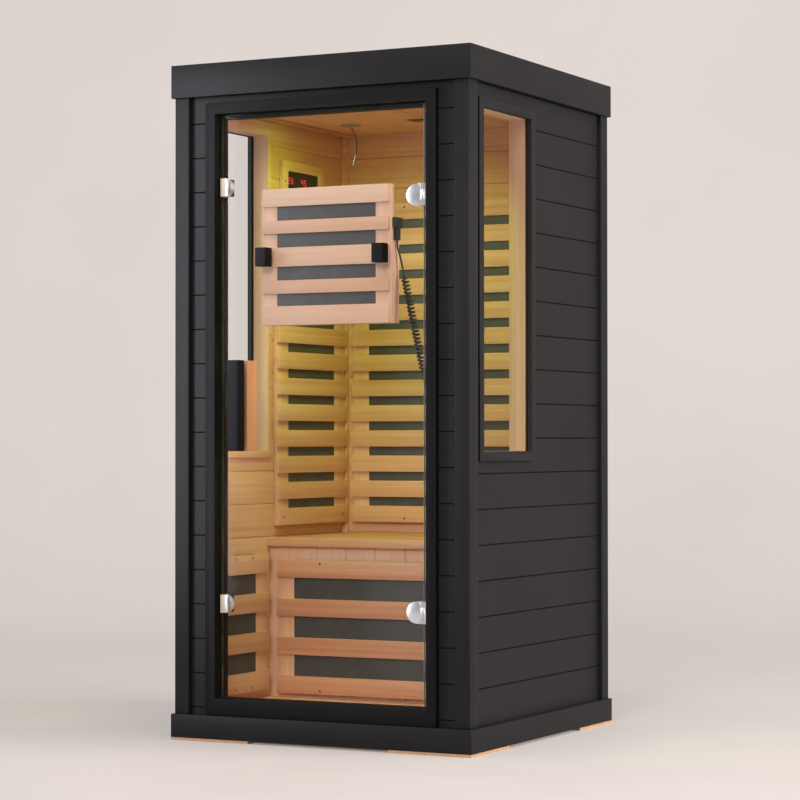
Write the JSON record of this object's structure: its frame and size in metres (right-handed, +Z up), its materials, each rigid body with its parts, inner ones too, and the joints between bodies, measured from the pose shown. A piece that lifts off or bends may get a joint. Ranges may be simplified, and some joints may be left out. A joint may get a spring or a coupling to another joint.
{
  "type": "infrared sauna cabin",
  "caption": "Free-standing infrared sauna cabin with painted board walls, wooden inside, hinged glass door, side windows, bench and slatted heaters",
  "frame": {"origin": "on the floor, below the middle of the base", "axes": "+Z up, front with the door towards -Y, hinges towards +X"},
  "size_m": [0.94, 0.97, 1.9],
  "materials": {
    "black_painted_wood": "satin black paint on boards",
    "natural_wood": "smooth planed softwood, untreated",
    "brown_board": "plain sheet board",
    "heating_panel": "dark grey laminate",
    "chrome_metal": "polished",
    "clear_glass": "clear toughened glass",
    "black_plastic": "moulded",
    "grey_steel": "brushed",
    "lamp_cover": "frosted cover"
  },
  "bodies": {
    "cabin": {"base_plinth": "black_painted_wood", "roof_cap": "black_painted_wood", "post_front_left": "black_painted_wood", "post_front_right": "black_painted_wood", "front_boards": "black_painted_wood", "side_boards_left": "black_painted_wood", "side_boards_right": "black_painted_wood", "back_boards": "black_painted_wood", "door_casing": "black_painted_wood", "window_casing_left": "black_painted_wood", "window_casing_right": "black_painted_wood", "floor_boards": "natural_wood", "ceiling_panel": "natural_wood", "front_lining": "natural_wood", "side_lining_left": "natural_wood", "side_lining_right": "natural_wood", "back_lining": "natural_wood", "bench_top": "natural_wood", "bench_apron": "natural_wood", "control_bezel": "natural_wood", "back_heater_guard": "natural_wood", "left_heater_guard": "natural_wood", "right_heater_guard": "natural_wood", "bench_heater_guard": "natural_wood", "calf_left_guard": "natural_wood", "calf_right_guard": "natural_wood", "bottom_board": "brown_board", "back_heater_panel": "heating_panel", "left_heater_panel": "heating_panel", "right_heater_panel": "heating_panel", "bench_heater_panel": "heating_panel", "calf_left_panel": "heating_panel", "calf_right_panel": "heating_panel", "hinge_leaf_top": "chrome_metal", "hinge_leaf_bottom": "chrome_metal", "window_glass_left": "clear_glass", "window_glass_right": "clear_glass", "magnet_top": "black_plastic", "magnet_bottom": "black_plastic", "cord_gland": "black_plastic", "curly_cord": "black_plastic", "control_panel": "black_plastic", "sensor_lead": "black_plastic", "power_box": "grey_steel", "sensor_probe": "grey_steel", "ceiling_lamp": "lamp_cover"},
    "door": {"door_glass": "clear_glass", "hinge_clamp_top": "chrome_metal", "hinge_clamp_bottom": "chrome_metal", "handle_outer": "black_painted_wood", "handle_inner": "natural_wood", "strike_top": "chrome_metal", "strike_bottom": "chrome_metal", "door_heater_guard": "natural_wood", "door_heater_panel": "heating_panel", "heater_block_left": "black_painted_wood", "heater_block_right": "black_painted_wood", "cord_plug": "black_plastic"},
    "button_power": {"control_button_power": "grey_steel"},
    "button_light": {"control_button_light": "grey_steel"}
  },
  "joints": [
    {"name": "door_hinge", "type": "hinge", "parent": "cabin", "child": "door", "pos_m": [0.3115, -0.4565, 0], "axis": [0, 0, 1], "range_deg": [0, 110], "deforming": ["curly_cord"]},
    {"name": "button_power_press", "type": "slide", "parent": "cabin", "child": "button_power", "axis": [-1, 0, 0], "range_m": [0, 0.0015], "stiffness_N_per_m": 400},
    {"name": "button_light_press", "type": "slide", "parent": "cabin", "child": "button_light", "axis": [-1, 0, 0], "range_m": [0, 0.0015], "stiffness_N_per_m": 400}
  ]
}
